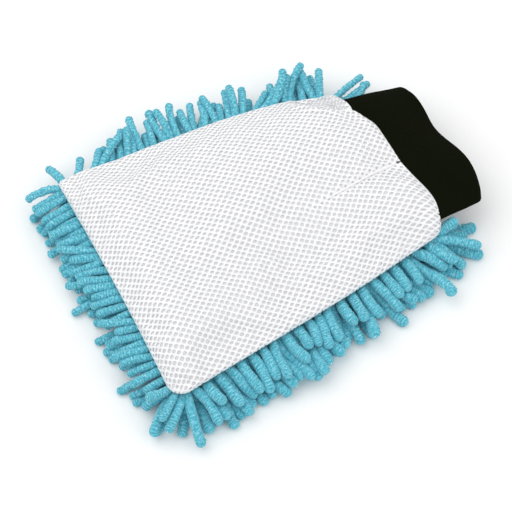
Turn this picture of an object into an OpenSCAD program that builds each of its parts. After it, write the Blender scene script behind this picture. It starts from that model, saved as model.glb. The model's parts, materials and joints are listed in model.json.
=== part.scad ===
// Car wash mitt: white air-mesh back, turquoise chenille palm, black rib-knit cuff.
// It lies chenille side down. +X runs from the fingertips to the cuff, +Y across, +Z up.
// The origin is on the table, under the middle of the whole mitt's box.

/* [Mitt body] */
// Length of the mesh panel, from the finger seam to the wrist seam
panel_l = 228; // [200:1:260]
// Width of the mesh panel at the finger seam
finger_w = 200; // [180:1:220]
// Width of the mesh panel at the wrist seam
wrist_w = 133; // [130:1:150]
// Radius of the two corners at the fingertips
finger_corner_r = 11; // [6:1:18]
// Radius of the two corners at the wrist
wrist_corner_r = 7; // [4:1:10]
// Height that the back of the mitt domes up over its side seam
dome_h = 17.5; // [14:0.5:24]
// Depth of the pleat that gathers the back at the wrist
pleat_h = 2.5; // [0:0.5:4]
// Place of the pleat across the wrist, from the middle
pleat_y = -6.5; // [-10:0.5:10]

/* [Chenille] */
// Number of chenille rows from the fingertips to the wrist
rows = 24; // [18:1:24]
// Diameter of one chenille noodle
noodle_d = 6.3; // [5:0.1:6.4]
// Full length of one chenille noodle
noodle_l = 32; // [26:1:36]
// Least distance between neighbouring noodles in a row
noodle_pitch = 6.6; // [6.6:0.1:8]
// Height of the noodle roots over the table
root_z = 19; // [17:0.5:22]

/* [Cuff] */
// Visible length of the knit cuff
cuff_l = 45; // [40:1:60]
// Width of the cuff at the wrist seam, lying flat
cuff_root_w = 122; // [112:1:124]
// Width of the cuff at its mouth, lying flat
cuff_mouth_w = 112; // [100:1:122]
// Height of the cuff's flattened oval
cuff_h = 13; // [12:0.5:16]
// Thickness of one layer of rib knit
knit_t = 1; // [0.8:0.1:1.2]

/* [Cloth] */
// Thickness of the outer net of the air mesh
net_t = 1.1; // [0.8:0.1:1.4]
// Thickness of the closed back layer of the air mesh
backing_t = 1.6; // [1:0.1:2]
// Thickness of the pocket lining
lining_t = 0.6; // [0.4:0.1:0.8]
// Thickness of the chenille's base cloth
base_t = 1.2; // [0.8:0.1:1.6]
// Diameter of the sewing thread
thread_d = 0.9; // [0.6:0.1:1]

/* [Hidden] */
row_nodes = [for (i = [0:rows - 1]) str("chenille_row_", i < 9 ? "0" : "", i + 1)];
$fn = 32;

white = [0.95, 0.95, 0.96];
turquoise = [0.35, 0.69, 0.76];
black = [0.06, 0.07, 0.05];

layer_gap = 0.3; // clear space between two cloths
strip_gap = 0.05; // from the sewn root of a row to the base cloth
noodle_r = noodle_d / 2;
row_inset = 3.5; // from the side seam in to the outermost roots
spine_w = 2.4; // width of the sewn root of one row
neck_r = 1.6; // a noodle is thin where it leaves its row
neck_l = 1.5;
swell_l = 4.5; // along the noodle to its full diameter
lie_tilt = 45; // tilt of the noodles pressed under the mitt, from straight down
edge_tilt = 85; // tilt of the outermost noodles
second_tilt = 56; // tilt of the second row at the fingertips
side_fan = [85, 42, 15]; // sideways tilt of the last three noodles at each end of a row

fringe_l = (noodle_l - noodle_r) * sin(edge_tilt) + noodle_r - row_inset;
overall_l = fringe_l + panel_l + cuff_l;
finger_x = -overall_l / 2 + fringe_l;
wrist_x = finger_x + panel_l;

base_z = root_z + noodle_r + 0.15;
lining_z = base_z + base_t + 0.2;
rim_z = base_z + base_t + thread_d + 0.4;
finger_roll = 40; // distance over which the back rises from the finger seam
grid_x = 18; // steps of a domed sheet along the mitt
grid_y = 32; // steps of a domed sheet across the mitt, fine enough to show the pleat
wrist_sink = 0.3; // share of its height that the dome loses at the wrist

seam_gap = thread_d + 0.3; // from the panels' ends to the root of the cuff
cuff_z = rim_z + cuff_h / 2 - 0.8;
cuff_layers = 2 * knit_t + 0.4; // both layers of the folded cuff and the gap between them
flex_l = 5.8; // stretch of knit that bends between the mitt and the free cuff
cuff_sides = 40;
stitch_l = 4;
stitch_pitch = 5.2;

// ---- outline and height of the domed back ----

function smooth(u) = let (v = min(max(u, 0), 1)) v * v * (3 - 2 * v);

// How far a corner of radius r, starting at distance d from the end, draws the side in
function corner_cut(r, d) = d >= r ? 0 : r - sqrt(max(0, r * r - (r - d) * (r - d)));

function half_w(x) = (finger_w + (wrist_w - finger_w) * (x - finger_x) / panel_l) / 2;

function edge_y(x, inset) = half_w(x) - inset
  - corner_cut(finger_corner_r - inset / 2, x - finger_x - inset)
  - corner_cut(wrist_corner_r - inset / 2, wrist_x - x);

// Stations along the mitt, closer together towards both ends
function station(k, inset) =
  let (first = finger_x + inset)
  first + (wrist_x - first) * (1 - cos(180 * k / grid_x)) / 2;

function across(j) = sin(180 * j / grid_y - 90);

function rise(x, t) =
  let (s = (x - finger_x) / panel_l,
       side = sqrt(max(0, 1 - pow(abs(t), 3.2))),
       f = min(1, (x - finger_x) / finger_roll),
       finger = sqrt(max(0, 1 - (1 - f) * (1 - f))),
       wrist = 1 - wrist_sink * smooth((s - 0.86) / 0.14))
  side * finger * wrist;

function pleat(x, t) =
  let (s = (x - finger_x) / panel_l)
  pleat_h * exp(-pow((t - 2 * pleat_y / wrist_w) / 0.12, 2)) * smooth((s - 0.66) / 0.3);

// A sheet's own dome starts at its own inset edge, so nested sheets never meet
function sheet_point(k, j, inset, h) =
  let (x = station(k, inset),
       t = across(j),
       edge = rise(x - inset * (1 - k / grid_x), t))
  [x, t * edge_y(x, inset), rim_z + (h - pleat(x, t)) * edge];

function outline(inset) = concat(
  [for (k = [0:grid_x]) let (x = station(k, inset)) [x, -edge_y(x, inset)]],
  [for (k = [grid_x:-1:0]) let (x = station(k, inset)) [x, edge_y(x, inset)]]);

// Closed shell between an outer dome and an inner dome, open towards the table and the wrist
module domed_sheet(inset, drop, t) {
  nx = grid_x + 1;
  ny = grid_y + 1;
  skin = nx * ny;
  points = concat(
    [for (k = [0:grid_x], j = [0:grid_y]) sheet_point(k, j, inset, dome_h - drop)],
    [for (k = [0:grid_x], j = [0:grid_y]) sheet_point(k, j, inset + t, dome_h - drop - t)]);
  function at(k, j) = k * ny + j;
  function quad(a, b, c, d) = [[a, c, b], [a, d, c]];
  cells = [for (k = [0:grid_x - 1], j = [0:grid_y - 1])
    let (a = at(k, j), b = at(k + 1, j), c = at(k + 1, j + 1), d = at(k, j + 1))
    each concat(quad(a, d, c, b), quad(skin + a, skin + b, skin + c, skin + d))];
  sides = [for (k = [0:grid_x - 1])
    let (a = at(k, 0), b = at(k + 1, 0), c = at(k, grid_y), d = at(k + 1, grid_y))
    each concat(quad(a, b, skin + b, skin + a), quad(d, c, skin + c, skin + d))];
  ends = [for (j = [0:grid_y - 1])
    let (a = at(0, j), b = at(0, j + 1), c = at(grid_x, j), d = at(grid_x, j + 1))
    each concat(quad(b, a, skin + a, skin + b), quad(c, d, skin + d, skin + c))];
  polyhedron(points, concat(cells, sides, ends), convexity = 6);
}

// ---- chenille rows ----

function row_x(i) = finger_x + row_inset + i * (panel_l - 2 * row_inset) / (rows - 1);

function row_tilt(i) =
  i == 0 ? -edge_tilt : i == 1 ? -second_tilt : i < rows / 2 ? -lie_tilt : lie_tilt;

function end_tilt(j, n) =
  j < len(side_fan) ? -side_fan[j] : n - 1 - j < len(side_fan) ? side_fan[n - 1 - j] : 0;

// Only as long as reaches the table, because the rest of a pressed noodle lies folded up
function lying_l(down) = min(noodle_l, (root_z - noodle_r) / down + noodle_r);

module noodle(l) {
  rotate_extrude()
    polygon(concat(
      [[0, 0], [neck_r, 0], [neck_r, neck_l], [noodle_r, swell_l]],
      [for (a = [0:30:90]) [noodle_r * cos(a), l - noodle_r + noodle_r * sin(a)]]));
}

module chenille_row(i) {
  x = row_x(i);
  end_y = edge_y(x, row_inset);
  n = floor(2 * end_y / noodle_pitch) + 1;
  pitch = 2 * end_y / (n - 1);
  color(turquoise)
  union() {
    translate([x - spine_w / 2, -end_y, root_z - neck_r])
      cube([spine_w, 2 * end_y, base_z - strip_gap - root_z + neck_r]);
    for (j = [0:n - 1]) {
      run = [tan(row_tilt(i)), tan(end_tilt(j, n)), -1];
      down = 1 / norm(run);
      translate([x, -end_y + j * pitch, root_z])
        rotate([0, acos(-down), atan2(run.y, run.x)])
          noodle(lying_l(down));
    }
  }
}

module chenille_base() {
  color(turquoise * 0.8)
    translate([0, 0, base_z])
      linear_extrude(base_t)
        polygon(outline(0.5));
}

// ---- sheets of the back and the pocket ----

backing_inset = net_t + layer_gap;
lining_inset = backing_inset + backing_t + layer_gap;

module mesh_face() {
  color(white) domed_sheet(0, 0, net_t);
}

module mesh_backing() {
  color(white * 0.92) domed_sheet(backing_inset, backing_inset, backing_t);
}

module lining_top() {
  color(white * 0.97) domed_sheet(lining_inset, lining_inset, lining_t);
}

module lining_palm() {
  color(white * 0.97)
    translate([0, 0, lining_z])
      linear_extrude(lining_t)
        polygon(outline(lining_inset + lining_t + thread_d));
}

// ---- seams ----

module stitch(from, to) {
  run = to - from;
  translate(from)
    rotate([0, acos(run.z / norm(run)), atan2(run.y, run.x)])
      cylinder(h = norm(run), d = thread_d);
}

module side_seam_stitching() {
  inset = backing_inset + backing_t / 2;
  z = base_z + base_t + thread_d / 2 + 0.2;
  side_n = floor((panel_l - finger_corner_r - wrist_corner_r) / stitch_pitch);
  end_half = half_w(finger_x) - finger_corner_r;
  end_n = floor(2 * end_half / stitch_pitch);
  color(white) {
    for (k = [0:side_n - 1], side = [-1, 1]) {
      x = finger_x + finger_corner_r + k * stitch_pitch;
      stitch([x, side * edge_y(x, inset), z],
             [x + stitch_l, side * edge_y(x + stitch_l, inset), z]);
    }
    for (k = [0:end_n - 1]) {
      y = -end_half + k * stitch_pitch;
      stitch([finger_x + inset, y, z], [finger_x + inset, y + stitch_l, z]);
    }
  }
}

// Height over the middle of the cuff's flattened oval at y, depth in from its outer face
function oval_z(y, w, depth) =
  (cuff_h / 2 - depth) * sqrt(max(0, 1 - pow(abs(y) / (w / 2 - depth), 3)));

// Point at angle a on that oval
function oval(a, w, depth) =
  let (y = (w / 2 - depth) * cos(a))
  [y, sign(sin(a)) * oval_z(y, w, depth)];

function cuff_w(x) =
  cuff_root_w + (cuff_mouth_w - cuff_root_w) * (x - wrist_x) / cuff_l;

module wrist_seam_stitching() {
  depth = cuff_layers / 2;
  x = wrist_x + seam_gap / 2;
  n = floor((cuff_root_w - 2 * cuff_h) / stitch_pitch);
  color(black)
    for (k = [0:n - 1], side = [-1, 1]) {
      y = (k - n / 2) * stitch_pitch;
      stitch([x, y, cuff_z + side * oval_z(y, cuff_root_w, depth)],
             [x, y + stitch_l, cuff_z + side * oval_z(y + stitch_l, cuff_root_w, depth)]);
    }
}

// A short bar lying on the back, at the seam's end of the pleat
module pleat_tack() {
  tack_d = 1.6;
  tack_l = 5;
  from = wrist_x - tack_l - tack_d;
  t = 2 * pleat_y / wrist_w;
  top = rim_z + (dome_h - pleat(from, t)) * rise(from - tack_d, t);
  color(black)
    translate([from, pleat_y, top + tack_d / 2 + layer_gap])
      rotate([0, 90, 0])
        union() {
          cylinder(h = tack_l, d = tack_d);
          sphere(d = tack_d);
          translate([0, 0, tack_l]) sphere(d = tack_d);
        }
}

// ---- cuff ----

// Sweeps a closed profile of [x, depth] points round the cuff's oval
module knit_tube(profile) {
  n = len(profile);
  points = [for (k = [0:cuff_sides - 1], p = profile)
    let (q = oval(360 * (k + 0.5) / cuff_sides, cuff_w(p.x), p.y))
    [p.x, q.x, cuff_z + q.y]];
  function at(k, i) = (k % cuff_sides) * n + i % n;
  faces = [for (k = [0:cuff_sides - 1], i = [0:n - 1])
    each [[at(k, i), at(k, i + 1), at(k + 1, i + 1)], [at(k, i), at(k + 1, i + 1), at(k + 1, i)]]];
  polyhedron(points, faces, convexity = 8);
}

module cuff_root() {
  from = wrist_x + seam_gap;
  to = wrist_x + flex_l;
  color(black)
    knit_tube([[from, 0], [to, 0], [to, cuff_layers], [from, cuff_layers]]);
}

// The free cuff is one tube of knit, folded back inside itself at the mouth
module knit_cuff() {
  from = wrist_x + flex_l + 0.4;
  mouth = wrist_x + cuff_l;
  fold = cuff_layers / 2;
  color(black)
    knit_tube(concat(
      [[from, 0]],
      [for (a = [90:-45:-90]) [mouth - fold + fold * cos(a), fold - fold * sin(a)]],
      [[from, cuff_layers], [from, cuff_layers - knit_t],
       [mouth - cuff_layers, cuff_layers - knit_t], [mouth - cuff_layers, knit_t],
       [from, knit_t]]));
}

// ---- nodes ----

mesh_face();
mesh_backing();
lining_top();
lining_palm();
chenille_base();
for (i = [0:rows - 1])
  chenille_row(i);
side_seam_stitching();
wrist_seam_stitching();
pleat_tack();
cuff_root();
knit_cuff();
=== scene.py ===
"""Wash mitt: a white air-mesh back, turquoise chenille noodles on the palm, and a black rib-knit cuff.

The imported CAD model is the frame. Shapes are worked out in millimetres and become metres in make_piece().
The mitt lies palm down: +X runs from the fingertips to the cuff, +Y across it, +Z up.
"""
import json
import math

import bpy
import numpy as np
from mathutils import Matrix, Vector
from mathutils.kdtree import KDTree


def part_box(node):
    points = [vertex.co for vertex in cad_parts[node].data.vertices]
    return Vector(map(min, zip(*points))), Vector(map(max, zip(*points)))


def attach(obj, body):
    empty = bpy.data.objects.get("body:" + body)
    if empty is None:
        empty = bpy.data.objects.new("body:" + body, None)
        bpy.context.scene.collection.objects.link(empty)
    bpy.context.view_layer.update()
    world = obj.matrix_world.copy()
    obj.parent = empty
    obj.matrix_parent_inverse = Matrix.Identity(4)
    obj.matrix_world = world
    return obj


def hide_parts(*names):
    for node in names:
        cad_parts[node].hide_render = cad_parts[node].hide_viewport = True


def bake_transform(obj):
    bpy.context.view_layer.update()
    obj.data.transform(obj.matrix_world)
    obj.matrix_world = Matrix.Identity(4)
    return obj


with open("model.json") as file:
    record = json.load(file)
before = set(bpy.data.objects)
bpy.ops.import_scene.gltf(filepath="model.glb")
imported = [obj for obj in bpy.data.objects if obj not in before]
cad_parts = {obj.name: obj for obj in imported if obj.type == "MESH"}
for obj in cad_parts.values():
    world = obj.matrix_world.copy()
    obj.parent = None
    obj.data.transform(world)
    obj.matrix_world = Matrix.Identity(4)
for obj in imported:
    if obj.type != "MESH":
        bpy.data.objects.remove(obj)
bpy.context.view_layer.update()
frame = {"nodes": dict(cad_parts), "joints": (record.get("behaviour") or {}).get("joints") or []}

MM = 0.001
random = np.random.default_rng(14)


# ---- camera, light and floor ----

AZIMUTH = math.radians(-28.5)
ELEVATION = math.radians(61.5)
DISTANCE = 1.73
AIM_PAST_MIDDLE = -0.0147
AIM_Y = -0.0241
AIM_Z = 0.033


def add_aimed(name, data, place, back):
    """Adds a camera or light at its place, looking against the direction back."""
    thing = bpy.data.objects.new(name, data)
    thing.location = place
    thing.rotation_euler = (-back).to_track_quat("-Z", "Y").to_euler()
    bpy.context.scene.collection.objects.link(thing)
    return thing


def make_camera():
    """A long lens that looks down on the mitt over its near fingertip corner."""
    low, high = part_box("mesh_face")
    target = Vector(((low.x + high.x) / 2 + AIM_PAST_MIDDLE, AIM_Y, AIM_Z))
    back = Vector((
        math.sin(AZIMUTH) * math.cos(ELEVATION),
        -math.cos(AZIMUTH) * math.cos(ELEVATION),
        math.sin(ELEVATION),
    ))
    data = bpy.data.cameras.new("camera")
    data.lens = 168
    data.sensor_width = 36
    bpy.context.scene.camera = add_aimed("camera", data, target + back * DISTANCE, back)


def make_area_light(name, place, size, watts):
    data = bpy.data.lights.new(name, "AREA")
    data.size = size
    data.energy = watts
    add_aimed(name, data, place, Vector(place))


def make_studio():
    scene = bpy.context.scene
    scene.view_settings.view_transform = "Standard"
    world = bpy.data.worlds.new("studio")
    world.use_nodes = True
    background = world.node_tree.nodes["Background"]
    background.inputs["Color"].default_value = (1, 1, 1, 1)
    background.inputs["Strength"].default_value = 0.80
    scene.world = world
    make_area_light("key", (-0.6, 0.6, 1.5), size=2.0, watts=11.9)
    make_area_light("fill", (0.9, -0.8, 1.2), size=1.4, watts=4)

    bpy.ops.mesh.primitive_plane_add(size=8)
    floor = bpy.context.object
    floor.name = "floor"
    floor.data.materials.append(plain_material("floor", (0.97, 0.97, 0.97), roughness=0.8))


# ---- materials ----

WAVE_PITCH = 0.314  # distance between a wave texture's bands at scale 1


class Shader:
    """A Principled material and short ways to add nodes to it."""

    def __init__(self, name, base, roughness, sheen=0.0, sheen_tint=(1, 1, 1)):
        self.material = bpy.data.materials.new(name)
        self.material.use_nodes = True
        self.tree = self.material.node_tree
        self.bsdf = self.tree.nodes["Principled BSDF"]
        for name, value in (
                ("Base Color", (*base, 1)), ("Roughness", roughness), ("Specular IOR Level", 0.25),
                ("Sheen Weight", sheen), ("Sheen Roughness", 0.45), ("Sheen Tint", (*sheen_tint, 1))):
            self.bsdf.inputs[name].default_value = value

    def feed(self, socket, value):
        """Links another node's output to the socket, or sets the socket's value."""
        if isinstance(value, bpy.types.NodeSocket):
            self.tree.links.new(value, socket)
        else:
            socket.default_value = value

    def add(self, kind, settings=(), **inputs):
        node = self.tree.nodes.new(kind)
        for name, value in dict(settings).items():
            setattr(node, name, value)
        for name, value in inputs.items():
            self.feed(node.inputs[name.replace("_", " ")], value)
        return node

    def maths(self, operation, first, second):
        node = self.add("ShaderNodeMath", {"operation": operation})
        self.feed(node.inputs[0], first)
        self.feed(node.inputs[1], second)
        return node.outputs["Value"]

    def position(self, coordinate="Object", stretch=(1, 1, 1)):
        where = self.add("ShaderNodeTexCoord").outputs[coordinate]
        return self.add("ShaderNodeMapping", Vector=where, Scale=stretch).outputs["Vector"]

    def noise(self, where, grain_mm, detail=2.0, roughness=0.6):
        """Noise with blobs about grain_mm across, for a coordinate in metres."""
        node = self.add("ShaderNodeTexNoise", Vector=where, Scale=1 / (grain_mm * MM),
                        Detail=detail, Roughness=roughness)
        return node.outputs["Fac"]

    def wave(self, where, direction, scale, distortion, detail=1.0):
        node = self.add("ShaderNodeTexWave", {"bands_direction": direction}, Vector=where, Scale=scale,
                        Distortion=distortion, Detail=detail)
        return node.outputs["Fac"]

    def colours(self, factor, *stops):
        """Paints the base colour: each stop is (place from 0 to 1, colour)."""
        ramp = self.add("ShaderNodeValToRGB", Fac=factor)
        elements = ramp.color_ramp.elements
        while len(elements) < len(stops):
            elements.new(0.5)
        for element, (place, colour) in zip(elements, stops):
            element.position = place
            element.color = (*colour, 1)
        self.tree.links.new(ramp.outputs["Color"], self.bsdf.inputs["Base Color"])

    def bumps(self, *layers):
        """Each layer is (height socket, depth in mm); they add up."""
        normal = None
        for height, depth in layers:
            node = self.add("ShaderNodeBump", Strength=1.0, Distance=depth * MM, Height=height)
            if normal:
                self.tree.links.new(normal, node.inputs["Normal"])
            normal = node.outputs["Normal"]
        self.tree.links.new(normal, self.bsdf.inputs["Normal"])
        return self.material


def plain_material(name, base, roughness):
    shader = Shader(name, base, roughness)
    grain = shader.noise(shader.position(), 40)
    shader.colours(grain, (0.3, [0.985 * c for c in base]), (0.7, base))
    return shader.material


def net_material():
    """White polyester net: crisp strands with fine filaments and a slight mottle."""
    shader = Shader("white_mesh", (0.93, 0.93, 0.95), 0.55, sheen=0.25)
    mottle = shader.noise(shader.position(), 3.0)
    shader.colours(mottle, (0.3, (0.92, 0.92, 0.94)), (0.65, (0.975, 0.975, 0.98)))
    filaments = shader.noise(shader.position(stretch=(1, 3, 1)), 0.35, detail=3)
    return shader.bumps((filaments, 0.08))


def knit_material(name, dark, light, loop_mm, sheen):
    """A fine warp knit: rows of loops made by two crossing waves, with uneven yarn."""
    shader = Shader(name, light, 0.75, sheen=sheen, sheen_tint=light)
    where = shader.position()
    courses, wales = (shader.wave(where, way, WAVE_PITCH / (loop_mm * MM), 0.6) for way in "XY")
    loops = shader.maths("MULTIPLY", courses, wales)
    shader.colours(shader.noise(where, 2.0), (0.3, dark), (0.7, light))
    return shader.bumps((loops, 0.15), (shader.noise(where, 0.3), 0.06))


def chenille_material():
    """Microfibre pile: a painted highlight on the ridges and painted shade in the grooves between them,
    mixed with random paler and deeper tufts.
    """
    shader = Shader("turquoise_chenille", (0.11, 0.43, 0.54), 0.9, sheen=0.5, sheen_tint=(0.6, 0.92, 1.0))
    where = shader.position()
    # Pointiness is high on ridges and low in grooves: it paints the highlight on the ridges and the shade in
    # the grooves.
    painted_relief_shading = shader.add("ShaderNodeNewGeometry").outputs["Pointiness"]
    painted_relief_shading = shader.add("ShaderNodeMapRange", Value=painted_relief_shading, From_Min=0.42, From_Max=0.58).outputs["Result"]
    tufts = shader.noise(where, 1.0, detail=3, roughness=0.7)
    mixed = shader.maths("MULTIPLY", shader.maths("ADD", painted_relief_shading, tufts), 0.5)
    # groove is painted shade and tip a painted highlight on the ridges; pile is the middle colour, and the
    # tuft noise adds random tone.
    groove_shade, pile, tip = (0.055, 0.425, 0.545), (0.245, 0.690, 0.830), (0.640, 0.950, 1.000)
    shader.colours(mixed, (0.34, groove_shade), (0.50, pile), (0.66, tip))
    return shader.bumps((tufts, 0.4), (shader.noise(where, 0.35, detail=2), 0.25))


def rib_material():
    """Black rib knit: the ribs are in the mesh; this adds the V loops along them and dusty fibres."""
    shader = Shader("black_knit", (0.006, 0.007, 0.004), 0.95, sheen=0.02, sheen_tint=(0.5, 0.55, 0.5))
    shader.bsdf.inputs["Specular IOR Level"].default_value = 0.05
    loops = shader.wave(shader.position("UV"), "Y", WAVE_PITCH, 1.0)
    fibres = shader.noise(shader.position(), 0.5, detail=3)
    shader.colours(fibres, (0.35, (0.0028, 0.0036, 0.0010)), (0.7, (0.0070, 0.0088, 0.0030)))
    return shader.bumps((loops, 0.2), (fibres, 0.12))


def thread_material(name, colour):
    """Two-ply sewing thread: diagonal plies from the UV map."""
    shader = Shader(name, colour, 0.5, sheen=0.15)
    plies = shader.wave(shader.position("UV"), "DIAGONAL", 0.5, 0.4, detail=2.0)
    # The darker colour lies in the grooves between the plies: painted shade.
    shader.colours(plies, (0.2, [0.8 * c for c in colour]), (0.8, colour))
    return shader.bumps((plies, 0.12))


# ---- mesh helpers ----

def grid_faces(rows, columns, start=0, closed=False, looped=False):
    """Quads of a grid of points that is stored row by row.

    A closed grid joins its last column to its first, and a looped one its last row to its first."""
    index = start + np.arange(rows * columns).reshape(rows, columns)
    if looped:
        index = np.vstack([index, index[:1]])
    if closed:
        index = np.hstack([index, index[:, :1]])
    corners = [index[:-1, :-1], index[1:, :-1], index[1:, 1:], index[:-1, 1:]]
    return np.stack(corners, axis=-1).reshape(-1, 4)


def make_object(name, points, faces):
    """A mesh object from points in millimetres."""
    mesh = bpy.data.meshes.new(name)
    mesh.from_pydata((points.reshape(-1, 3) * MM).tolist(), [], [tuple(f) for f in faces.tolist()])
    made = bpy.data.objects.new(name, mesh)
    bpy.context.scene.collection.objects.link(made)
    return made


def make_piece(name, points, faces, slot, uv=None):
    """A smooth piece of the mitt in its slot's material. uv gives a pair for each point."""
    piece = make_object(name, points, faces)
    mesh = piece.data
    mesh.shade_smooth()
    if uv is not None:
        corner = np.zeros(len(mesh.loops), np.int32)
        mesh.loops.foreach_get("vertex_index", corner)
        layer = mesh.uv_layers.new(name="UVMap")
        layer.data.foreach_set("uv", np.asarray(uv, np.float32).reshape(-1, 2)[corner].ravel())
    mesh.materials.append(materials[slot])
    return piece


def smooth_step(value, low=0.0, high=1.0):
    share = np.clip((value - low) / (high - low), 0, 1)
    return share * share * (3 - 2 * share)


def swell(value, middle, width, height=1.0):
    """A smooth hump over the middle value, down to about a third of its height at that width."""
    return height * np.exp(-((value - middle) / width) ** 2)


def rounded(distance, radius):
    """Height of a round edge, as a share of its full height, at that distance in from it."""
    return np.sqrt(1 - (1 - np.clip(distance / radius, 0, 1)) ** 2)


def angles_round(count):
    return np.linspace(0, 2 * np.pi, count, endpoint=False)


def unit(vectors):
    return vectors / np.maximum(np.linalg.norm(vectors, axis=-1, keepdims=True), 1e-9)


def lengths_along(line):
    """Distance from the first point to each point of a line."""
    steps = np.linalg.norm(np.diff(line, axis=0), axis=1)
    return np.concatenate([[0], np.cumsum(steps)])


def respace(line, at):
    """The points of a line at the given distances along it."""
    along = lengths_along(line)
    return np.stack([np.interp(at, along, line[:, k]) for k in range(3)], axis=1)


def carried_frames(path):
    """Two directions square to each path, carried along it without twist."""
    tangent = unit(np.gradient(path, axis=1))
    side = np.zeros_like(path)
    start = np.cross(tangent[:, 0], [0, 0, 1.0])
    start[np.linalg.norm(start, axis=1) < 0.2] = (1, 0, 0)
    side[:, 0] = unit(start - (start * tangent[:, 0]).sum(1)[:, None] * tangent[:, 0])
    for k in range(1, path.shape[1]):
        carried = side[:, k - 1]
        side[:, k] = unit(carried - (carried * tangent[:, k]).sum(1)[:, None] * tangent[:, k])
    return side, np.cross(tangent, side)


def tubes(paths, reach, angle):
    """Rings of points round each path. reach is how far out each ring, or each of its points, lies."""
    across, up = carried_frames(paths)
    spokes = np.cos(angle)[:, None] * across[:, :, None] + np.sin(angle)[:, None] * up[:, :, None]
    return paths[:, :, None] + reach[..., None] * spokes


def box_mm(node):
    low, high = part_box(node)
    return np.array(low) / MM, np.array(high) / MM


# ---- the frame's own measures, in millimetres ----

face_low, face_high = box_mm("mesh_face")
base_low, base_high = box_mm("chenille_base")
palm_low, palm_high = box_mm("lining_palm")
cuff_low, cuff_high = box_mm("knit_cuff")
finger_x, wrist_x = face_low[0], face_high[0]
panel_l = wrist_x - finger_x
rim_z, top_z = face_low[2], face_high[2]
joint = next(j for j in frame["joints"] if j["name"] == "cuff_flex")
cuff_z = joint["pos_m"][2] / MM
cuff_root_half = cuff_high[1] + 1.0
row_nodes = sorted(n for n in frame["nodes"] if n.startswith("chenille_row_"))


def panel_halves():
    """Half the panel's width at the fingers and the wrist: its straight sides drawn out to both ends."""
    corners = np.array([v.co for v in frame["nodes"]["mesh_face"].data.vertices]) / MM
    far = corners[corners[:, 1] > 0]
    ends = []
    for x in (finger_x + panel_l * 0.1, finger_x + panel_l * 0.9):
        station = far[np.argmin(abs(far[:, 0] - x)), 0]
        ends.append((station, far[abs(far[:, 0] - station) < 0.2, 1].max()))
    (x_a, y_a), (x_b, y_b) = ends
    slope = (y_b - y_a) / (x_b - x_a)
    return y_a + slope * (finger_x - x_a), y_a + slope * (wrist_x - x_a)


finger_half, wrist_half = panel_halves()


# ---- the back's outline and shape ----

NEAR, FAR = -1, 1
FINGER_CORNER = {NEAR: 13.0, FAR: 4.5}
WRIST_CORNER = {NEAR: 11.0, FAR: 8.0}
SIDE_BOW = {NEAR: 2.5, FAR: 9.0}
BOW_LEAN = 1.6
SIDE_SHIFT = {NEAR: (-5.0, 1.2), FAR: (5.0, 4.0)}
FINGER_HOLLOW = 1.5
FINGER_SKEW = 2.8
FINGER_ROLL = 24
WRIST_ROLL = 11
EDGE_RISE = 0.5
CUFF_FAR_SPREAD = 3.0
CUFF_CLEARANCE = 1.0
VALLEY_DEPTH = 3.0
VALLEY_WIDTH = 20
CLOTH_SETTINGS = dict(
    quality=5, mass=0.15, tension_stiffness=12, compression_stiffness=12, shear_stiffness=4,
    bending_stiffness=0.6, shrink_min=-0.018, use_pressure=True, uniform_pressure_force=0.6,
    vertex_group_mass="sewn",
)


def corner_cut(radius, distance):
    """How far a round corner draws the side in, at that distance from the end."""
    return radius * (1 - rounded(distance, radius))


def half_width(x, side):
    """The panel's half width on one side, which bows out and ends in round corners."""
    share = np.clip((x - finger_x) / panel_l, 0, 1)
    at_fingers, at_wrist = SIDE_SHIFT[side]
    half = (finger_half + at_fingers) * (1 - share) + (wrist_half + at_wrist) * share
    half = half + SIDE_BOW[side] * np.sin(np.pi * share ** BOW_LEAN)
    half = half - corner_cut(FINGER_CORNER[side], x - finger_x)
    return half - corner_cut(WRIST_CORNER[side], wrist_x - x)


def half_width_at(x, y):
    return np.where(y < 0, half_width(x, NEAR), half_width(x, FAR))


def cuff_top(y):
    """Height of the cuff's upper side over the palm, where the back is sewn to it."""
    half = cuff_root_half + CUFF_FAR_SPREAD * smooth_step(y, 0, cuff_root_half)
    bulge = np.sqrt(np.clip(1 - abs(y / half) ** 3, 0, 1))
    return np.maximum(cuff_z + (cuff_high[2] - cuff_z) * bulge + CUFF_CLEARANCE, rim_z + EDGE_RISE)


def end_shift(x, t):
    """How the finger end lies: hollow in the middle, the near corner further out than the far one."""
    share = (x - finger_x) / panel_l
    hollow = FINGER_HOLLOW * (1 - t * t) * (1 - smooth_step(share, 0, 0.15))
    return hollow + (FINGER_SKEW * t - 1) * (1 - smooth_step(share, 0, 0.6))


def valley_y(x):
    """Where the soft valley that carries the wrist fold on towards the fingers runs across the mitt."""
    return -10 - 0.42 * np.maximum(wrist_x - x - 60, 0)


def valley(x, y):
    inward = wrist_x - x
    depth = VALLEY_DEPTH * smooth_step(inward, 20, 80) * (1 - smooth_step(inward, 130, 215))
    return swell(y, valley_y(x), VALLEY_WIDTH, depth)


def lobes(x, t):
    """The two puffed lobes on both sides of the wrist fold."""
    return (swell(t, -0.50, 0.30, 3.0) + swell(t, 0.36, 0.30, 2.6)) * swell(wrist_x - x, 14, 32)


def wrist_reach(t):
    """How far the wrist edge lies out from the seam's line: a full near lobe, then a drawn-in far corner."""
    near_lobe = swell(t, -0.80, 0.40, 6.0)
    pleat = swell(t, -0.12, 0.12, 0.6)
    far_corner = 8.3 * smooth_step(t, 0.40, 0.76)
    notch = swell(t, 0.72, 0.05, 2.6)
    return 1.8 + near_lobe - pleat - far_corner - notch


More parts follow.
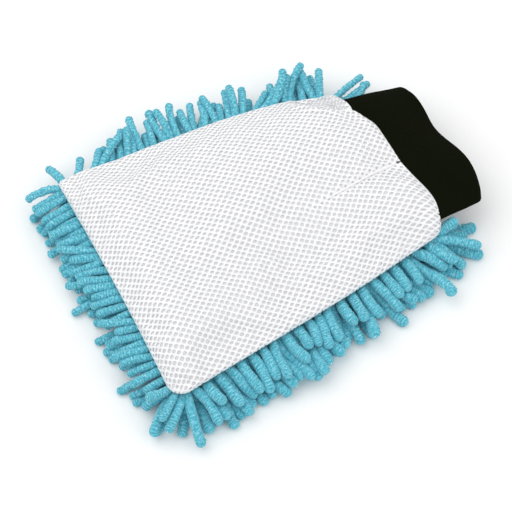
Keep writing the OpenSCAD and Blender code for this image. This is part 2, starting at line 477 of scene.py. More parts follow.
class Fold:
    """A sharp fold pressed into the cloth from start to end, with a steep wall on its high side.

    spread is how far its gentle side reaches, and brow the raised share beside its wall. Its line can bow
    to one side. hold is the share of its length that keeps its full depth, at_seam its strength there."""

    def __init__(self, start, end, depth, high_side, spread, brow, bow=0.0, hold=0.35, at_seam=0.35):
        self.start, run = np.array(start), np.array(end) - np.array(start)
        self.length = np.linalg.norm(run)
        self.run = run / self.length
        self.depth, self.spread, self.brow = depth, spread, brow
        self.bow, self.hold, self.at_seam = bow, hold, at_seam
        self.flip = high_side * np.sign(run[0])

    def measure(self, points):
        """Distance across from the fold's line, and how strong the fold is there."""
        offset = points[..., :2] - self.start
        along = offset @ self.run
        across = (offset[..., 1] * self.run[0] - offset[..., 0] * self.run[1]) * self.flip
        share = np.clip(along / self.length, 0, 1)
        across = across + 4 * self.bow * share * (1 - share)
        fade = 1 - smooth_step(along / self.length, self.hold, 1.05)
        start = self.at_seam + (1 - self.at_seam) * smooth_step(along, 0, 12)
        return across, fade * start * smooth_step(along, -12, -2)

    def press(self, grid):
        """Presses the fold into the grid, but not down into the cuff below it."""
        across, fade = self.measure(grid)
        steep = swell(across, 0, 1.5)
        gentle = np.exp(-abs(across) / self.spread)
        brow = swell(across, 3.6, 2.2, self.brow)
        folded = grid.copy()
        folded[..., 2] -= self.depth * fade * (np.where(across > 0, steep, gentle) - brow)
        over_cuff = smooth_step(grid[..., 0], wrist_x - 22, wrist_x - 13)
        lowest = rim_z + EDGE_RISE + (cuff_top(grid[..., 1]) - rim_z - 0.2) * over_cuff
        folded[..., 2] = np.maximum(folded[..., 2], np.minimum(grid[..., 2], lowest))
        return folded


WRIST_FOLD = Fold((wrist_x + 1, -8.0), (wrist_x - 84, -13.0), 4.6, FAR, spread=8, brow=0.35)
CORNER_FOLD = Fold((wrist_x - 7, 0.73 * wrist_half), (wrist_x - 42, 1.19 * wrist_half), 8.0, NEAR,
                   spread=40, brow=0.30, bow=-5.0, hold=0.8, at_seam=0.8)


def ripples(x, y):
    """Slow unevenness of a hand-sewn cloth back."""
    slow = 0.9 * np.sin(x / 27 + y / 41 + 0.6) + 0.7 * np.sin(x / 44 - y / 23 + 2.1)
    return slow + 0.35 * np.sin(x / 13 - 1.2) * np.sin(y / 17 + 0.4)


def puckers(x, y, inset):
    """Small gathers where the cloth is drawn into its seams."""
    gathers = np.sin(x / 2.6 + 0.8 * np.sin(x / 11)) * np.sin(y / 2.9 + np.sin(y / 13))
    return 0.55 * gathers * np.exp(-inset / 7)


def back_points(stations=120, steps=100):
    """The back as a grid of points from the finger seam to the wrist seam, closest at the seams."""
    x_line = finger_x + panel_l * (1 - np.cos(np.linspace(0, np.pi, stations))) / 2
    t_line = np.sin(np.linspace(-np.pi / 2, np.pi / 2, steps + 1))
    x, t = np.meshgrid(x_line, t_line, indexing="ij")
    half = half_width_at(x, t)
    y = t * half
    share = (x - finger_x) / panel_l
    reach = wrist_reach(t) * smooth_step(share, 0.86, 1)

    side_roll = np.sqrt(1 - np.minimum(abs(t), 1) ** 4.2)
    sag = 1 - 0.10 * smooth_step(share, 0.0, 0.5) * (1 - smooth_step(share, 0.55, 0.95))
    edge = side_roll * rounded(x - finger_x, FINGER_ROLL)
    height = (top_z - rim_z) * sag * edge
    inset = np.minimum((1 - abs(t)) * half, x - finger_x)
    detail = lobes(x, t) - valley(x, y) + ripples(x, y) - 1.0
    height = height + edge * detail + puckers(x, y, inset) * edge

    seam = cuff_top(y) - rim_z
    low = np.minimum(seam, height)
    height = low + (height - low) * rounded(wrist_x - x, WRIST_ROLL)
    return np.stack([x + end_shift(x, t) + reach, y, rim_z + height], axis=-1)


def respaced_grid(grid, rows, columns):
    """The same surface with its points spread evenly along the cloth. The middle column stays put."""
    middle = grid.shape[1] // 2
    along = lengths_along(grid[:, middle])
    row_at = np.interp(np.linspace(0, along[-1], rows), along, np.arange(len(along)))
    low = np.minimum(row_at.astype(int), len(along) - 2)
    part = (row_at - low)[:, None, None]
    lines = grid[low] * (1 - part) + grid[low + 1] * part
    spread = []
    for line in lines:
        near, far = (respace(half, np.linspace(0, lengths_along(half)[-1], columns // 2 + 1))
                     for half in (line[middle::-1], line[middle:]))
        spread.append(np.vstack([near[:0:-1], far]))
    return np.array(spread)


def settle_cloth(grid, frames=18, furthest=5.0):
    """Lets the back puff and gather as cloth that is sewn down all round, and caps how far it moves."""
    rows, columns = grid.shape[:2]
    points = grid.reshape(-1, 3)
    cloth = make_object("back_cloth", points, grid_faces(rows, columns))
    index = np.arange(rows * columns).reshape(rows, columns)
    sewn = {int(i) for edge in (index[:2], index[-3:], index[:, :2], index[:, -2:]) for i in edge.ravel()}
    group = cloth.vertex_groups.new(name="sewn")
    group.add(sorted(sewn), 1.0, "REPLACE")
    settings = cloth.modifiers.new("cloth", "CLOTH").settings
    for name, value in CLOTH_SETTINGS.items():
        setattr(settings, name, value)
    settings.effector_weights.gravity = 0
    scene = bpy.context.scene
    for number in range(1, frames + 1):
        scene.frame_set(number)
    shown = cloth.evaluated_get(bpy.context.evaluated_depsgraph_get())
    moved = np.zeros(len(points) * 3)
    shown.data.vertices.foreach_get("co", moved)
    shift = moved.reshape(-1, 3) / MM - points
    far = np.linalg.norm(shift, axis=1, keepdims=True)
    shift *= np.minimum(1, furthest * np.tanh(far / furthest) / np.maximum(far, 1e-9))
    bpy.data.objects.remove(cloth)
    scene.frame_set(1)
    return (points + shift).reshape(grid.shape)


class Back:
    """The back's surface, measured along the cloth: a from the wrist seam to the finger seam, b across.

    b is 0 along the middle. Past the seams the cloth turns under in a small roll."""

    turn_r = 1.3

    def __init__(self, grid):
        self.grid = grid[::-1]
        self.middle = grid.shape[1] // 2
        self.length = lengths_along(self.grid[:, self.middle])[-1]
        self.near = np.array([lengths_along(line[self.middle::-1])[-1] for line in self.grid])
        self.far = np.array([lengths_along(line[self.middle:])[-1] for line in self.grid])
        along = np.gradient(self.grid, axis=0)
        across = np.gradient(self.grid, axis=1)
        self.normals = unit(np.cross(across, along))
        self.field = np.concatenate([self.grid, self.normals], axis=-1)

    def reach(self, a, b):
        """How far the cloth reaches from the middle on b's side."""
        row = np.clip(a / self.length, 0, 1) * (len(self.grid) - 1)
        count = np.arange(len(self.grid))
        return np.where(b < 0, np.interp(row, count, self.near), np.interp(row, count, self.far))

    def above(self, places):
        """The surface's points and normals at plan places, taken from the nearest grid points."""
        flat = self.field.reshape(-1, 6)
        found, facing = [], []
        for place in places:
            distance = np.linalg.norm(flat[:, :2] - place, axis=1)
            nearest = np.argsort(distance)[:6]
            weight = 1 / (distance[nearest] + 0.2)[:, None]
            mixed = (flat[nearest] * weight).sum(0) / weight.sum()
            found.append((*place, mixed[2]))
            facing.append(mixed[3:])
        return np.array(found), unit(np.array(facing))

    def sample(self, row, column):
        """Points and normals between the grid's rows and columns."""
        low_r = np.minimum(row.astype(int), self.field.shape[0] - 2)
        low_c = np.minimum(column.astype(int), self.field.shape[1] - 2)
        part_r, part_c = (row - low_r)[:, None], (column - low_c)[:, None]
        first, second = (self.field[r, low_c] * (1 - part_c) + self.field[r, low_c + 1] * part_c
                         for r in (low_r, low_r + 1))
        mixed = first * (1 - part_r) + second * part_r
        return mixed[:, :3], unit(mixed[:, 3:])

    def place(self, a, b):
        """Points and outward normals."""
        half = self.reach(a, b)
        row = np.clip(a / self.length, 0, 1) * (len(self.grid) - 1)
        column = (np.clip(b / half, -1, 1) + 1) * self.middle
        points, normals = self.sample(row, column)
        past_a = a - np.clip(a, 0, self.length)
        past_b = b - np.clip(b, -half, half)
        past = np.hypot(past_a, past_b)
        inward = unit(np.stack([past_a, -past_b, np.zeros_like(a)], axis=-1))
        turn = np.minimum(past / self.turn_r, np.pi)[:, None]
        down = np.array([0, 0, -1.0])
        points = points + self.turn_r * (inward * (1 - np.cos(turn)) + down * np.sin(turn))
        normals = unit(normals * np.cos(turn) + down * np.sin(turn))
        return points, normals


# ---- the back's sheets ----

HOLE_ALONG = 6.1
HOLE_ACROSS = 5.15
HOLE_R = 1.44
HOLE_STRETCH = 0.30
LOZENGE = 1.4
NET_T = 0.6
NET_TURN = 3.0
NET_COLUMNS = 60
STRAND_TOP = 0.34 * NET_T
RIM_TOP = 0.14 * NET_T
STRAND_TAPER = 0.16
ROLL_R = 0.9
BACKING_DEPTHS = (0.55, 2.2)
LINING_DEPTHS = (2.7, 3.3)
LINING_INSET = 5.0
LINING_CUFF_GAP = 12
BASE_INSET = 0.8


def net_ring():
    """The cell round one hole of the staggered net: a hexagon with each long side in three."""
    step = np.array([HOLE_ALONG, HOLE_ACROSS]) / 2
    tip = (step @ step) / 2 / step[0]
    flat_x = ((step @ step) / 2 - step[1] ** 2) / step[0]
    corners = np.array([(tip, 0), (flat_x, step[1]), (-flat_x, step[1]), (-tip, 0)])
    upper = []
    for start, end, parts in ((0, 1, 3), (1, 2, 1), (2, 3, 3)):
        for k in range(parts):
            upper.append(corners[start] + (corners[end] - corners[start]) * k / parts)
    upper = np.array(upper)
    return np.vstack([upper, -upper])


def tightened(b):
    """The net lies stretched along the middle and tighter towards the sides, most of all on the far side."""
    return 1.05 * b - np.where(b > 0, 0.0012, -0.0006) * b * b


def net_centres(back):
    """The holes' places in staggered rows, and how far each is from the cloth's edge."""
    centres = []
    for i in range(-1, int(back.length / HOLE_ALONG * 2) + 3):
        for j in range(-NET_COLUMNS, NET_COLUMNS + 1):
            if (i + j) % 2 == 0:
                centres.append((i * HOLE_ALONG / 2, j * HOLE_ACROSS / 2))
    centres = np.array(centres)
    along, across = centres[:, 0], tightened(centres[:, 1])
    edge = np.minimum(back.reach(along, across) - abs(across), np.minimum(along, back.length - along))
    inside = edge > -NET_TURN
    return centres[inside], edge[inside]


def hole_rims(back, centres, edge, count):
    """Each hole's rim and its wider foot: round in the valley, lozenges elsewhere, closed at the seams."""
    angle = angles_round(count)
    circle = np.stack([np.cos(angle), np.sin(angle)], axis=-1)
    lozenge = circle / (abs(circle) ** LOZENGE).sum(axis=1, keepdims=True) ** (1 / LOZENGE)
    world, _ = back.place(centres[:, 0], tightened(centres[:, 1]))
    pull = 1 - swell(world[:, 1], valley_y(world[:, 0]), 24)
    open_share = 0.05 + 0.95 * smooth_step(edge, -2.0, 5.0)
    across, fade = WRIST_FOLD.measure(world)
    open_share *= 1 - swell(across, 0, 2.4, 0.85) * np.minimum(1.5 * fade, 1)
    across, fade = CORNER_FOLD.measure(world)
    open_share *= 1 + 0.40 * smooth_step(-across, 1.0, 3.0) * np.minimum(2 * fade, 1)
    cells = len(centres)
    size = HOLE_R * open_share * (1 + 0.05 * random.standard_normal(cells))
    size = np.stack([size * (1 + HOLE_STRETCH * pull), size * (1 - 0.9 * HOLE_STRETCH * pull)], axis=-1)
    size = size[:, None]
    shape = circle + (lozenge - circle) * pull[:, None, None]
    middle = centres[:, None] + 0.10 * random.standard_normal((cells, 1, 2))
    return [(middle + shape * (size + wider)).reshape(-1, 2) for wider in (0, STRAND_TAPER)]


def ring_bands(first, second):
    """Quads between two rings of points for every hole."""
    after_first, after_second = np.roll(first, -1, axis=1), np.roll(second, -1, axis=1)
    return np.stack([first, after_first, after_second, second], axis=-1).reshape(-1, 4)


def make_net(back):
    """The open net of the air mesh, hole by hole. Strands are shared between cells and rounded on top."""
    ring = net_ring()
    n = len(ring)
    centres, edge = net_centres(back)
    cells = len(centres)
    shared = (centres[:, None] + ring).reshape(-1, 2)
    keys, index = np.unique(np.round(shared * 50).astype(int), axis=0, return_inverse=True)
    flat = np.zeros((len(keys), 2))
    flat[index.ravel()] = shared
    rim, foot = hole_rims(back, centres, edge, n)

    points = []
    for places, height in ((flat, STRAND_TOP), (flat, -NET_T / 2), (rim, RIM_TOP), (foot, -NET_T / 2)):
        surface, normals = back.place(places[:, 0], tightened(places[:, 1]))
        points.append(surface + normals * height)
    outer = index.reshape(cells, n)
    rims = 2 * len(keys) + np.arange(cells * n).reshape(cells, n)
    feet = rims + cells * n

    edges = np.stack([outer, np.roll(outer, -1, axis=1)], axis=-1).reshape(-1, 2)
    _, first, uses = np.unique(np.sort(edges, axis=1), axis=0, return_index=True, return_counts=True)
    start, end = edges[first[uses == 1]].T
    walls = np.stack([end, start, start + len(keys), end + len(keys)], axis=-1)
    roll_points, roll_faces = fold_roll(back, 2 * len(keys) + 2 * cells * n)
    points = np.vstack([*points, roll_points])
    faces = np.vstack([ring_bands(outer, rims), ring_bands(rims, feet), ring_bands(feet, outer + len(keys)),
                       walls, roll_faces])
    return make_piece("mesh_net", points, faces, "white_mesh")


def fold_roll(back, start, rings=120, sides=10):
    """The rolled edge of cloth along the wrist fold, fading out with it."""
    along = np.linspace(1.5, 0.93 * WRIST_FOLD.length, rings)
    places = WRIST_FOLD.start + np.outer(along, WRIST_FOLD.run)
    places = places + np.outer(np.full(rings, ROLL_R), np.array([WRIST_FOLD.run[1], -WRIST_FOLD.run[0]]))
    middle, normals = back.above(places)
    _, fade = WRIST_FOLD.measure(middle)
    radius = ROLL_R * np.maximum(fade, 0) ** 0.6 * np.minimum(1, (along - 1) / 3) ** 0.5 + 0.02
    radius = radius[:, None, None]
    tangent = unit(np.gradient(middle, axis=0))
    across = np.cross(tangent, normals)
    angle = angles_round(sides)[None, :, None]
    spokes = np.cos(angle) * across[:, None] + np.sin(angle) * normals[:, None]
    points = middle[:, None] + normals[:, None] * (0.15 * radius) + radius * spokes
    return points.reshape(-1, 3), grid_faces(rings, sides, start, closed=True)


def make_shell(name, grid, normals, outer, inner, slot):
    """A sheet between two depths under a grid of points, closed round its edge."""
    rows, columns = grid.shape[:2]
    count = rows * columns
    points = np.vstack([(grid - normals * depth).reshape(-1, 3) for depth in (outer, inner)])
    top = grid_faces(rows, columns)
    index = np.arange(count).reshape(rows, columns)
    rim = np.concatenate([index[0, :-1], index[:-1, -1], index[-1, :0:-1], index[:0:-1, 0]])
    after = np.roll(rim, -1)
    sides = np.stack([rim, after, after + count, rim + count], axis=-1)
    faces = np.vstack([top, top[:, ::-1] + count, sides])
    return make_piece(name, points, faces, slot)


def make_palm_sheet(name, inset, low, high, wrist_gap, slot):
    """A flat sheet under the hand with the panel's outline, slightly wavy."""
    x_line = np.linspace(finger_x + inset, wrist_x - wrist_gap, 90)
    t_line = np.linspace(-1, 1, 71)
    x, t = np.meshgrid(x_line, t_line, indexing="ij")
    half = half_width_at(x, t) - inset
    y = t * half
    wave = 0.12 * np.sin(x / 9 + 1) * np.sin(y / 8)
    grid = np.stack([x + end_shift(x, t), y, high + wave], axis=-1)
    up = np.zeros_like(grid)
    up[..., 2] = 1
    return make_shell(name, grid, up, 0, high - low, slot)


# ---- chenille ----

NOODLE_R = 3.15
NEAR_NOODLE_R = 4.1
FAR_NOODLE_R = 0.93 * NOODLE_R
POINTS = 9
RIDGE_PITCH = 2.0
RIDGE_H = 0.08
TUFT_H = 0.20
SINK = 0.035
STIFFNESS = 0.22
PUSH = 0.25
PUSH_LIMIT = 1.2
CLOSENESS = 0.93
ROOT_INSET = 3.5
ROOT_PITCH = 6.6
under_cloth = base_low[2]


class Noodles:
    """A list of noodles, and the table of them that the rest of the script reads."""

    columns = [("row", int), ("root", float, 3), ("aim", float, 3), ("curl", float), ("length", float),
               ("girth", float), ("fringe", bool)]

    def __init__(self):
        self.planted = []

    def add(self, row, place, heading, dip, length, girth, drop=0.0, curl=0.0, fringe=True):
        """heading turns from +X to +Y, dip is down from level, curl is the turn over the whole length."""
        turn, down = math.radians(heading), math.radians(dip)
        level = math.cos(down)
        root = (*place, under_cloth - girth - drop)
        aim = (level * math.cos(turn), level * math.sin(turn), -math.sin(down))
        self.planted.append((row, root, aim, math.radians(curl) / (POINTS - 1), length, girth, fringe))

    def table(self):
        return np.array(self.planted, self.columns)


def clumped(count, spread, clump):
    """Random swings in which neighbours lean together in clumps, with a little of their own."""
    together = np.convolve(random.standard_normal(count + clump), np.ones(clump) / math.sqrt(clump), "valid")
    return spread * (0.8 * together[:count] + 0.45 * random.standard_normal(count))


def finger_heading(y):
    """The finger fringe points away from the hand, leaning to the far side except at the near corner."""
    return 180 - 17 + 15 * smooth_step(y, 15, 85) + 50 * smooth_step(-y, 72, 92)


def near_heading(share):
    """Downwards in plan, leaning to the wrist, with a clump combed back and a bundle at the wrist."""
    combed_back = swell(share, 0.58, 0.07, 38) + swell(share, 0, 0.05, 30)
    return -90 + 20 - combed_back + 42 * smooth_step(share, 0.84, 0.98)


def far_heading(share):
    """Upwards in plan, leaning to the wrist by a different amount in each clump."""
    clumps = swell(share, 0.07, 0.09, 34) - swell(share, 0.42, 0.08, 14) + swell(share, 0.68, 0.08, 32)
    return 90 - 24 - clumps


def plant_finger_fringe(noodles):
    """Two layers along the finger seam: a short upper one and a longer one under it."""
    near_end, far_end = -finger_half - SIDE_SHIFT[NEAR][0], finger_half + SIDE_SHIFT[FAR][0]
    for pitch, inset, dip, length, drop in ((6.4, 4.0, 4, 27, 0.0), (7.4, 8.5, 19, 38, 4.5)):
        line = np.arange(near_end + 8, far_end - 4, pitch)
        swing = clumped(len(line), 9, 3)
        for y, own in zip(line, swing):
            jitter = random.standard_normal(4)
            x = finger_x + inset + end_shift(finger_x, y / far_end)
            noodles.add(0, (x, y + 0.8 * jitter[3]), finger_heading(y) + own, dip + 4 * jitter[0],
                        length + 2.6 * jitter[1], NOODLE_R * (1 + 0.05 * jitter[2]), drop, 10 * jitter[3])


def plant_side_fringe(noodles, i, x, share, near_swing, far_swing):
    """Layers of noodles at each end of a row; the near ones are fatter, the far ones sparser."""
    half_row = panel_l / len(row_nodes) / 2
    far_l = 32 + 5 * smooth_step(share, 0.3, 0.9)
    near_layers = ((3.5, 0, 10, 28, 0), (5.5, half_row, 22, 40, 4), (11, 0, 36, 43, 3))
    far_layers = ((4, 0, 0, far_l, 0), (5, half_row, 9, far_l - 2, 3), (8, half_row / 2, 4, far_l, 2),
                  (11, 0, 28, 36, 3))
    for side, layers, lean, stray, girth, curl in (
            (NEAR, near_layers, near_heading(share) + near_swing, 15, NEAR_NOODLE_R, 20),
            (FAR, far_layers, far_heading(share) + far_swing, 10, FAR_NOODLE_R, 22)):
        for inset, shift, dip, length, drop in layers:
            jitter = random.standard_normal(5)
            grows = (share < 1 or shift == 0) if side == NEAR else 0.06 < share < 0.94
            if grows:
                noodles.add(i, (x + shift, side * (half_width(x, side) - inset)), lean + stray * jitter[0],
                            dip + 4 * jitter[1], length + 3 * jitter[2], girth * (1 + 0.04 * jitter[3]),
                            drop, curl * jitter[4])


def plant_corners(noodles):
    """The stray noodles at the four corners of the palm."""
    last = len(row_nodes) - 1
    far_wrist = half_width(wrist_x - 10, FAR)
    for inward, along, heading, dip, length, drop, curl in (
            (4, 17, -174, 5, 31, 0.0, 10), (4, 14, -168, 12, 39, 2.0, 38), (6, 12, -131, 16, 33, 1.5, -8),
            (8, 11, -106, 13, 42, 1.5, 8), (7, 12, -118, 30, 34, 3.5, -20)):
        noodles.add(0, (finger_x + inward, -finger_half + along), heading, dip, length,
                    NEAR_NOODLE_R * 0.92, drop, curl)
    for inward, beyond, heading, dip, length, girth, drop, curl in (
            (7, -1, 154, -3, 33, 0.95, 0.0, 50), (7, -1, 88, 2, 27, 1, 1.5, 30),
            (13, 0, 46, 4, 27, 0.95, 2.0, 20)):
        noodles.add(0, (finger_x + inward, finger_half + beyond), heading, dip, length,
                    NOODLE_R * girth, drop, curl)
    near_wrist = -half_width(wrist_x - 12, NEAR)
    for step, heading, length in ((0, -24, 38), (4, -17, 35), (8, -30, 34), (2, -42, 34), (6, -50, 32)):
        noodles.add(last, (wrist_x - 6 - step / 2, near_wrist + 3 + step), heading, 8 + step,
                    length, NOODLE_R * 1.1, step / 2, -24)
    for inward, inset, heading, dip, length, girth, drop, curl in (
            (13, 3, 22, 0, 36, 0.80, 0.0, -12), (9, 7, -24, 0, 33, 0.80, 1.5, 105),
            (5, 5, 8, 2, 32, 0.85, 3.0, 12)):
        noodles.add(last, (wrist_x - inward, far_wrist - inset), heading, dip, length,
                    NOODLE_R * girth, drop, curl)


def row_x(i):
    return finger_x + ROOT_INSET + i * (panel_l - 2 * ROOT_INSET) / (len(row_nodes) - 1)


def plant_noodles():
    noodles = Noodles()
    plant_finger_fringe(noodles)
    rows = len(row_nodes)
    near_swings, far_swings = clumped(rows, 13, 3), clumped(rows, 8, 3)
    for i in range(rows):
        x = row_x(i)
        if i > 0:
            plant_side_fringe(noodles, i, x, i / (rows - 1), near_swings[i], far_swings[i])
        low_y, high_y = -half_width(x, NEAR) + 18, half_width(x, FAR) - 18
        count = int((high_y - low_y) / ROOT_PITCH) + 1
        swing = clumped(count, 14, 3)
        heading, dip = (180, 42) if i < rows / 2 else (0, 48)
        for y, own in zip(np.linspace(low_y, high_y, count), swing):
            if i > 0:
                noodles.add(i, (x, y), heading + own, dip, 27, NOODLE_R, 0.6, fringe=False)
    plant_corners(noodles)
    return noodles.table()


def start_lines(noodles):
    """Each noodle as a line of points with its curl, bent out level where it would go through the table."""
    aim = noodles["aim"]
    step = noodles["length"] / (POINTS - 1)
    lines = np.zeros((len(noodles), POINTS, 3))
    lines[:, 0] = noodles["root"]
    for k in range(1, POINTS):
        if k > 1:
            aim = turned(aim, noodles["curl"])
        sunk = lines[:, k - 1, 2] + aim[:, 2] * step < noodles["girth"]
        level = aim * np.array([1, 1, 0.0])
        aim = np.where(sunk[:, None], unit(level), aim)
        lines[:, k] = lines[:, k - 1] + aim * step[:, None]
    return lines, step


def turned(vectors, angle):
    """Vectors turned in plan by their own angles."""
    cos, sin = np.cos(angle), np.sin(angle)
    return np.stack([vectors[:, 0] * cos - vectors[:, 1] * sin,
                     vectors[:, 0] * sin + vectors[:, 1] * cos, vectors[:, 2]], axis=-1)


def touching(points, owner, reach):
    """Pairs of points of different noodles that are within reach of each other."""
    tree = KDTree(len(points))
    for i, point in enumerate(points):
        tree.insert(point, i)
    tree.balance()
    pairs = [(i, j) for i, point in enumerate(points) for _, j, _ in tree.find_range(point, reach) if j > i]
    pairs = np.array(pairs)
    return pairs[owner[pairs[:, 0]] != owner[pairs[:, 1]]]


def settle_noodles(noodles, rounds=70):
    """Lets the noodles sink, lie on the table and push each other aside, their roots staying put."""
    lines, step = start_lines(noodles)
    count = len(lines)
    girth = np.repeat(noodles["girth"], POINTS)
    owner = np.repeat(np.arange(count), POINTS)
    held = np.tile(np.arange(POINTS) < 2, count)
    pull = SINK * np.linspace(0, 1, POINTS)
    step = step[:, None]
    for sweep in range(rounds):
        points = lines.reshape(-1, 3)
        if sweep % 8 == 0:
            pairs = touching(points, owner, 2.7 * NOODLE_R)
            want = CLOSENESS * (girth[pairs[:, 0]] + girth[pairs[:, 1]])
        fixed = points[held].copy()
        lines[:, :, 2] -= pull
        for k in range(2, POINTS):
            straight = lines[:, k - 1] + turned(lines[:, k - 1] - lines[:, k - 2], noodles["curl"])
            lines[:, k] += STIFFNESS * (straight - lines[:, k])
        gap = points[pairs[:, 0]] - points[pairs[:, 1]]
        apart = np.linalg.norm(gap, axis=1)
        push = np.maximum(0, want - apart)[:, None] * gap / np.maximum(apart, 1e-6)[:, None]
        moves = np.zeros_like(points)
        np.add.at(moves, pairs[:, 0], PUSH * push)
        np.add.at(moves, pairs[:, 1], -PUSH * push)
        points += np.clip(moves, -PUSH_LIMIT, PUSH_LIMIT)
        x, y = points[:, 0], points[:, 1]
        under = (x > finger_x) & (x < wrist_x + 2) & (abs(y) < half_width_at(x, y) + 1)
        ceiling = np.where(under, under_cloth - 0.8 * girth, 99)
        points[:, 2] = np.clip(points[:, 2], girth + 0.1, ceiling)
        points[held] = fixed
        for k in range(1, POINTS):
            lines[:, k] = lines[:, k - 1] + unit(lines[:, k] - lines[:, k - 1]) * step
    return lines


def curve_through(lines, shares):
    """Catmull-Rom curves through each noodle's points, sampled at the same shares of each."""
    first = 2 * lines[:, :1] - lines[:, 1:2]
    last = 2 * lines[:, -1:] - lines[:, -2:-1]
    padded = np.concatenate([first, lines, last], axis=1)
    at = shares * (lines.shape[1] - 1)
    k = np.minimum(at.astype(int), lines.shape[1] - 2)
    u = (at - k)[None, :, None]
    a, b, c, d = (padded[:, k + m] for m in range(4))
    curve = 2 * b + (c - a) * u + (2 * a - 5 * b + 4 * c - d) * u ** 2
    return 0.5 * (curve + (3 * b - a - 3 * c + d) * u ** 3)


def noodle_skins(lines, noodles, rings, sides):
    """Points and UV pairs of tufted tubes with rounded tips: ridges of tufts go round each one."""
    shares = 1 - np.linspace(1, 0, rings) ** 1.3
    count = len(lines)
    girth, length = noodles["girth"][:, None], noodles["length"][:, None]
    distance = shares * length
    tip = rounded(length - distance, girth)
    root = 0.78 + 0.22 * smooth_step(distance, 0, 6)
    lumps = np.sin(distance / 3.1 + 9 * random.random((count, 1)))
    radius = girth * root * (0.97 + 0.035 * lumps)
    angle = angles_round(sides)
    phase = 6 * random.random((count, 1, 1)) + 0.9 * np.sin(2 * angle + 6 * random.random((count, 1, 1)))
    wander = 1.5 * np.sin(distance / 2.3 + 6 * random.random((count, 1)))[..., None]
    ridges = np.sin(2 * np.pi * distance[..., None] / RIDGE_PITCH + phase + wander)
    own = random.standard_normal((count, rings, sides))
    blobs = (own + np.roll(own, 1, axis=1)) / 1.4
    tufts = RIDGE_H * ridges + TUFT_H * blobs + 0.06 * own
    reach = (radius[..., None] + tufts) * np.maximum(tip, 0.02)[..., None]
    points = tubes(curve_through(lines, shares), reach, angle)
    points[..., 2] = np.maximum(points[..., 2], 0.1)
    uv = np.zeros((count, rings, sides, 2))
    uv[..., 0] = angle * 3.2
    uv[..., 1] = distance[..., None]
    return points, uv


def root_strip(i, rings=60, sides=10):
    """The sewn strip that holds one row's noodles to the base cloth: a rounded bar under it."""
    x = row_x(i)
    y = np.linspace(-half_width(x, NEAR) + ROOT_INSET - 1, half_width(x, FAR) - ROOT_INSET + 1, rings)
    angle = angles_round(sides)
    taper = np.sqrt(np.clip(1 - np.linspace(-1, 1, rings) ** 20, 0.02, 1))
    wobble = 1 + 0.08 * np.sin(y * 2 * np.pi / 2.2)
    points = np.zeros((rings, sides, 3))
    points[..., 0] = x + 1.3 * np.outer(taper * wobble, np.cos(angle))
    points[..., 1] = y[:, None]
    points[..., 2] = under_cloth - NOODLE_R + (NOODLE_R - 0.05) * np.outer(taper, np.sin(angle))
    return points.reshape(-1, 3), grid_faces(rings, sides, closed=True)


def make_rows():
    """One piece for each CAD row: its noodles and the strip that they are sewn to."""
    noodles = plant_noodles()
    lines = settle_noodles(noodles)
    fringe = noodles["fringe"]
    pieces = []
    for i in range(len(row_nodes)):
        strip_points, strip_faces = root_strip(i)
        points, faces, uvs = [strip_points], [strip_faces], [np.zeros((len(strip_points), 2))]
        start = len(strip_points)
        for shown, rings, sides in ((fringe, 60, 18), (~fringe, 20, 9)):
            chosen = (noodles["row"] == i) & shown
            if not chosen.any():
                continue
            skins, uv = noodle_skins(lines[chosen], noodles[chosen], rings, sides)
            for skin, pair in zip(skins, uv):
                points.append(skin.reshape(-1, 3))
                uvs.append(pair.reshape(-1, 2))
                faces.append(grid_faces(rings, sides, start, closed=True))
                start += rings * sides
        pieces.append(make_piece(f"noodle_row_{i + 1:02d}", np.vstack(points), np.vstack(faces),
                                 "turquoise_chenille", uv=np.vstack(uvs)))
    return pieces


# ---- cuff ----

KNIT_T = 1.0
FOLD_R = 1.25
RIB_PITCH = 1.65
RIB_H = 0.26
RIB_STEPS = 4
MOUTH_BACK = 3.5
CUFF_START = 12.0
MOUTH_CORNER = 5.0
cuff_length = cuff_high[0] - wrist_x + CUFF_START


def cuff_shape(share, angle, depth):
    """Points on the cuff: share from its root to its mouth, angle round it, depth inwards."""
    t = np.cos(angle)
    far_side = smooth_step(t, 0, 1)
    half = cuff_root_half + CUFF_FAR_SPREAD * far_side - (1 + 9.5 * far_side) * share
    half = half - corner_cut(MOUTH_CORNER, (1 - share) * cuff_length) - depth
    height = (cuff_high[2] - cuff_low[2]) / 2 - depth
    y = half * t
    z = np.sign(np.sin(angle)) * height * np.sqrt(np.clip(1 - abs(t) ** 3, 0, 1))
    mouth_wave = swell(t, -0.62, 0.42, 4.5) - swell(t, 0.12, 0.30, 2.2) - 1.2 * abs(t) ** 8
    start, end = wrist_x - CUFF_START, cuff_high[0] - MOUTH_BACK
    x = start + (end + mouth_wave - start) * share
    arch = swell(t, -0.45, 0.35, 3.5) - swell(t, 0.30, 0.28, 1.5)
    droop = -2.0 * share ** 2 - 1.0 * t * t * share
    slack = 0.6 * np.sin(x / 6.5 + y / 19) * smooth_step(share, 0.15, 0.6)
    return np.stack([x, y, cuff_z + z + (arch + droop) * smooth_step(share, 0.1, 1) + slack], axis=-1)


def even_angles(count):
    """Angles round the flattened oval, evenly spaced along its girth, and that girth."""
    angle = np.linspace(0, 2 * np.pi, 4001)
    along = lengths_along(cuff_shape(np.full_like(angle, 0.5), angle, 0)[:, 1:])
    return np.interp(np.linspace(0, along[-1], count, endpoint=False), along, angle), along[-1]


